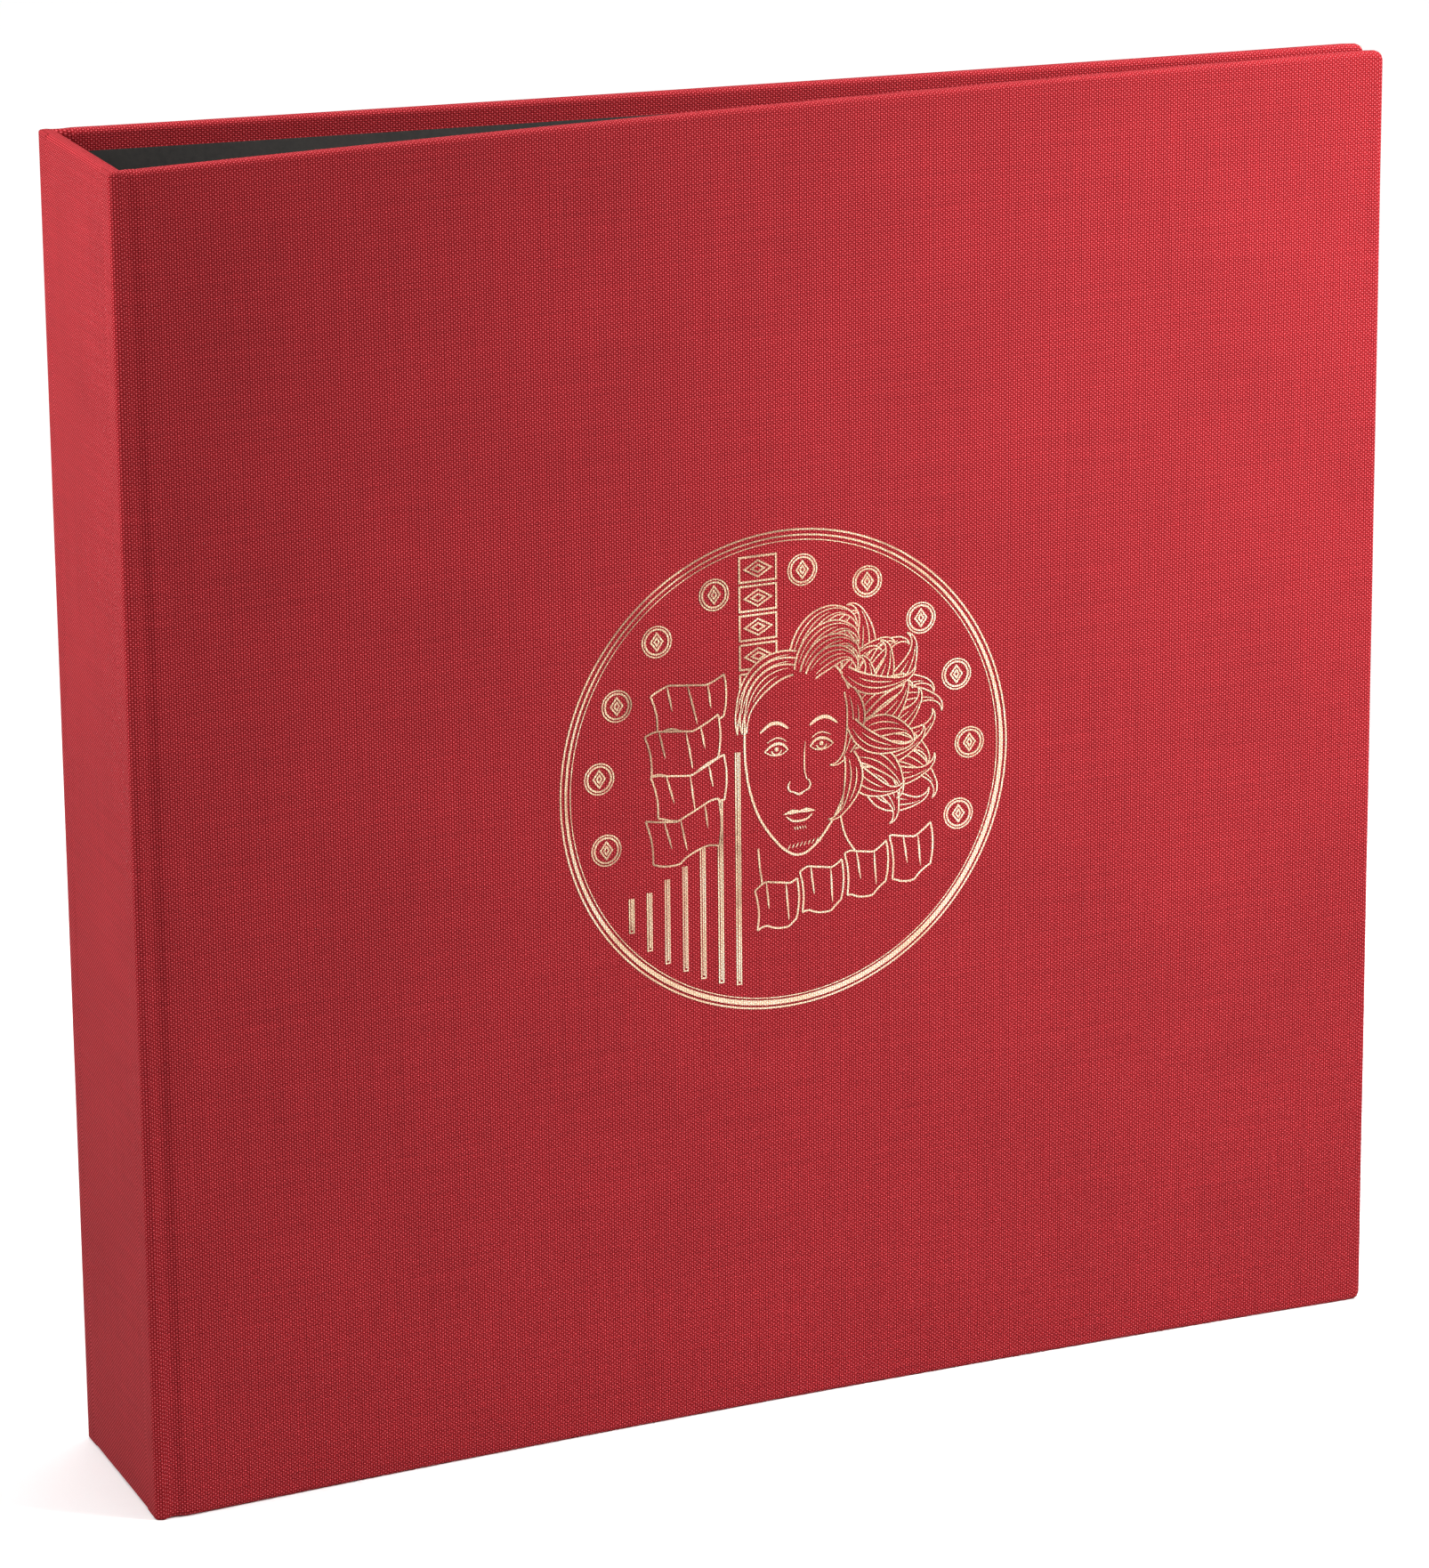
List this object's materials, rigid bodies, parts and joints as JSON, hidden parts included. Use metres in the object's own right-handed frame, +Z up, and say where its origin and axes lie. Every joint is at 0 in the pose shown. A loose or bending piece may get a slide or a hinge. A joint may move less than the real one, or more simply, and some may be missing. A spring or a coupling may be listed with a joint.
{
  "type": "stamp album",
  "caption": "Upright cloth-covered ring album with a round foil medallion, hinged board covers, a lever-opened ring mechanism and turning pocket pages.",
  "frame": {"origin": "centre of the album's footprint, on the surface it stands on", "axes": "+Z up along the spine, +X from the spine towards the fore-edge, front cover facing -Y"},
  "size_m": [0.254, 0.045, 0.25],
  "materials": {
    "red_book_cloth": "plain-woven cloth over paper, matte with a slight sheen",
    "greyboard": "matte, fibrous",
    "black_lining_paper": "matte with a fine tooth",
    "gold_foil": "hot-stamped metallic foil that takes up the weave",
    "nickel_plate": "bright nickel plate",
    "ring_wire": "bright nickel plate",
    "steel_pins": "lightly brushed",
    "clear_film": "clear soft film",
    "black_card": "smooth matte card"
  },
  "bodies": {
    "spine": {"spine_board": "greyboard", "spine_cloth": "red_book_cloth", "spine_lining": "black_lining_paper", "front_joint_cloth": "red_book_cloth", "front_joint_lining": "black_lining_paper", "back_joint_cloth": "red_book_cloth", "back_joint_lining": "black_lining_paper", "mechanism_cover": "nickel_plate", "upper_lever_pin": "steel_pins", "lower_lever_pin": "steel_pins", "upper_rivet": "steel_pins", "lower_rivet": "steel_pins"},
    "front_cover": {"front_board": "greyboard", "front_cover_cloth": "red_book_cloth", "front_lining": "black_lining_paper", "foil_medallion": "gold_foil"},
    "back_cover": {"back_board": "greyboard", "back_cover_cloth": "red_book_cloth", "back_lining": "black_lining_paper"},
    "front_rail": {"front_rail": "nickel_plate", "front_ring_half_1": "ring_wire", "front_ring_half_2": "ring_wire", "front_ring_half_3": "ring_wire", "front_ring_half_4": "ring_wire"},
    "back_rail": {"back_rail": "nickel_plate", "back_ring_half_1": "ring_wire", "back_ring_half_2": "ring_wire", "back_ring_half_3": "ring_wire", "back_ring_half_4": "ring_wire"},
    "upper_lever": {"upper_lever": "nickel_plate"},
    "lower_lever": {"lower_lever": "nickel_plate"},
    "page_1": {"pocket_page_1": "clear_film", "pocket_front_1": "clear_film"},
    "interleaf_1": {"interleaf_1": "black_card"},
    "page_2": {"pocket_page_2": "clear_film", "pocket_front_2": "clear_film"},
    "interleaf_2": {"interleaf_2": "black_card"},
    "page_3": {"pocket_page_3": "clear_film", "pocket_front_3": "clear_film"},
    "interleaf_3": {"interleaf_3": "black_card"},
    "page_4": {"pocket_page_4": "clear_film", "pocket_front_4": "clear_film"},
    "interleaf_4": {"interleaf_4": "black_card"}
  },
  "joints": [
    {"name": "front_cover_hinge", "type": "hinge", "parent": "spine", "child": "front_cover", "pos_m": [-0.12545, -0.02095, 0.125], "axis": [0, 0, -1], "range_deg": [0, 94], "deforming": ["front_joint_cloth", "front_joint_lining"]},
    {"name": "back_cover_hinge", "type": "hinge", "parent": "spine", "child": "back_cover", "pos_m": [-0.12545, 0.02095, 0.125], "axis": [0, 0, 1], "range_deg": [0, 94], "deforming": ["back_joint_cloth", "back_joint_lining"]},
    {"name": "upper_lever_pivot", "type": "hinge", "parent": "spine", "child": "upper_lever", "pos_m": [-0.1212, 0, 0.2199], "axis": [0, -1, 0], "range_deg": [0, 30]},
    {"name": "lower_lever_pivot", "type": "hinge", "parent": "spine", "child": "lower_lever", "pos_m": [-0.1212, 0, 0.0301], "axis": [0, 1, 0], "range_deg": [0, 30]},
    {"name": "front_rail_pivot", "type": "hinge", "parent": "spine", "child": "front_rail", "pos_m": [-0.1221, -0.00635, 0.125], "axis": [0, 0, -1], "range_deg": [0, 12]},
    {"name": "back_rail_pivot", "type": "hinge", "parent": "spine", "child": "back_rail", "pos_m": [-0.1221, 0.00635, 0.125], "axis": [0, 0, 1], "range_deg": [0, 12]},
    {"name": "page_1_turn", "type": "hinge", "parent": "spine", "child": "page_1", "pos_m": [-0.1105, 0, 0.125], "axis": [0, 0, -1], "range_deg": [0, 89.4]},
    {"name": "interleaf_1_turn", "type": "hinge", "parent": "spine", "child": "interleaf_1", "pos_m": [-0.1105, 0, 0.125], "axis": [0, 0, -1], "range_deg": [0, 77.4]},
    {"name": "page_2_turn", "type": "hinge", "parent": "spine", "child": "page_2", "pos_m": [-0.1105, 0, 0.125], "axis": [0, 0, -1], "range_deg": [0, 65.3]},
    {"name": "interleaf_2_turn", "type": "hinge", "parent": "spine", "child": "interleaf_2", "pos_m": [-0.1105, 0, 0.125], "axis": [0, 0, -1], "range_deg": [0, 53.2]},
    {"name": "page_3_turn", "type": "hinge", "parent": "spine", "child": "page_3", "pos_m": [-0.1105, 0, 0.125], "axis": [0, 0, -1], "range_deg": [0, 41.1]},
    {"name": "interleaf_3_turn", "type": "hinge", "parent": "spine", "child": "interleaf_3", "pos_m": [-0.1105, 0, 0.125], "axis": [0, 0, -1], "range_deg": [0, 29]},
    {"name": "page_4_turn", "type": "hinge", "parent": "spine", "child": "page_4", "pos_m": [-0.1105, 0, 0.125], "axis": [0, 0, -1], "range_deg": [0, 16.9]},
    {"name": "interleaf_4_turn", "type": "hinge", "parent": "spine", "child": "interleaf_4", "pos_m": [-0.1105, 0, 0.125], "axis": [0, 0, -1], "range_deg": [0, 4.8]}
  ],
  "couplings": [
    {"joint": "lower_lever_pivot", "follows": "upper_lever_pivot", "ratio": 1},
    {"joint": "front_rail_pivot", "follows": "upper_lever_pivot", "ratio": 0.4},
    {"joint": "back_rail_pivot", "follows": "upper_lever_pivot", "ratio": 0.4},
    {"joint": "page_1_turn", "follows": "front_cover_hinge", "ratio": 0.95},
    {"joint": "interleaf_1_turn", "follows": "front_cover_hinge", "ratio": 0.8214},
    {"joint": "page_2_turn", "follows": "front_cover_hinge", "ratio": 0.6929},
    {"joint": "interleaf_2_turn", "follows": "front_cover_hinge", "ratio": 0.5643},
    {"joint": "page_3_turn", "follows": "front_cover_hinge", "ratio": 0.4357},
    {"joint": "interleaf_3_turn", "follows": "front_cover_hinge", "ratio": 0.3071},
    {"joint": "page_4_turn", "follows": "front_cover_hinge", "ratio": 0.1786},
    {"joint": "interleaf_4_turn", "follows": "front_cover_hinge", "ratio": 0.05}
  ]
}
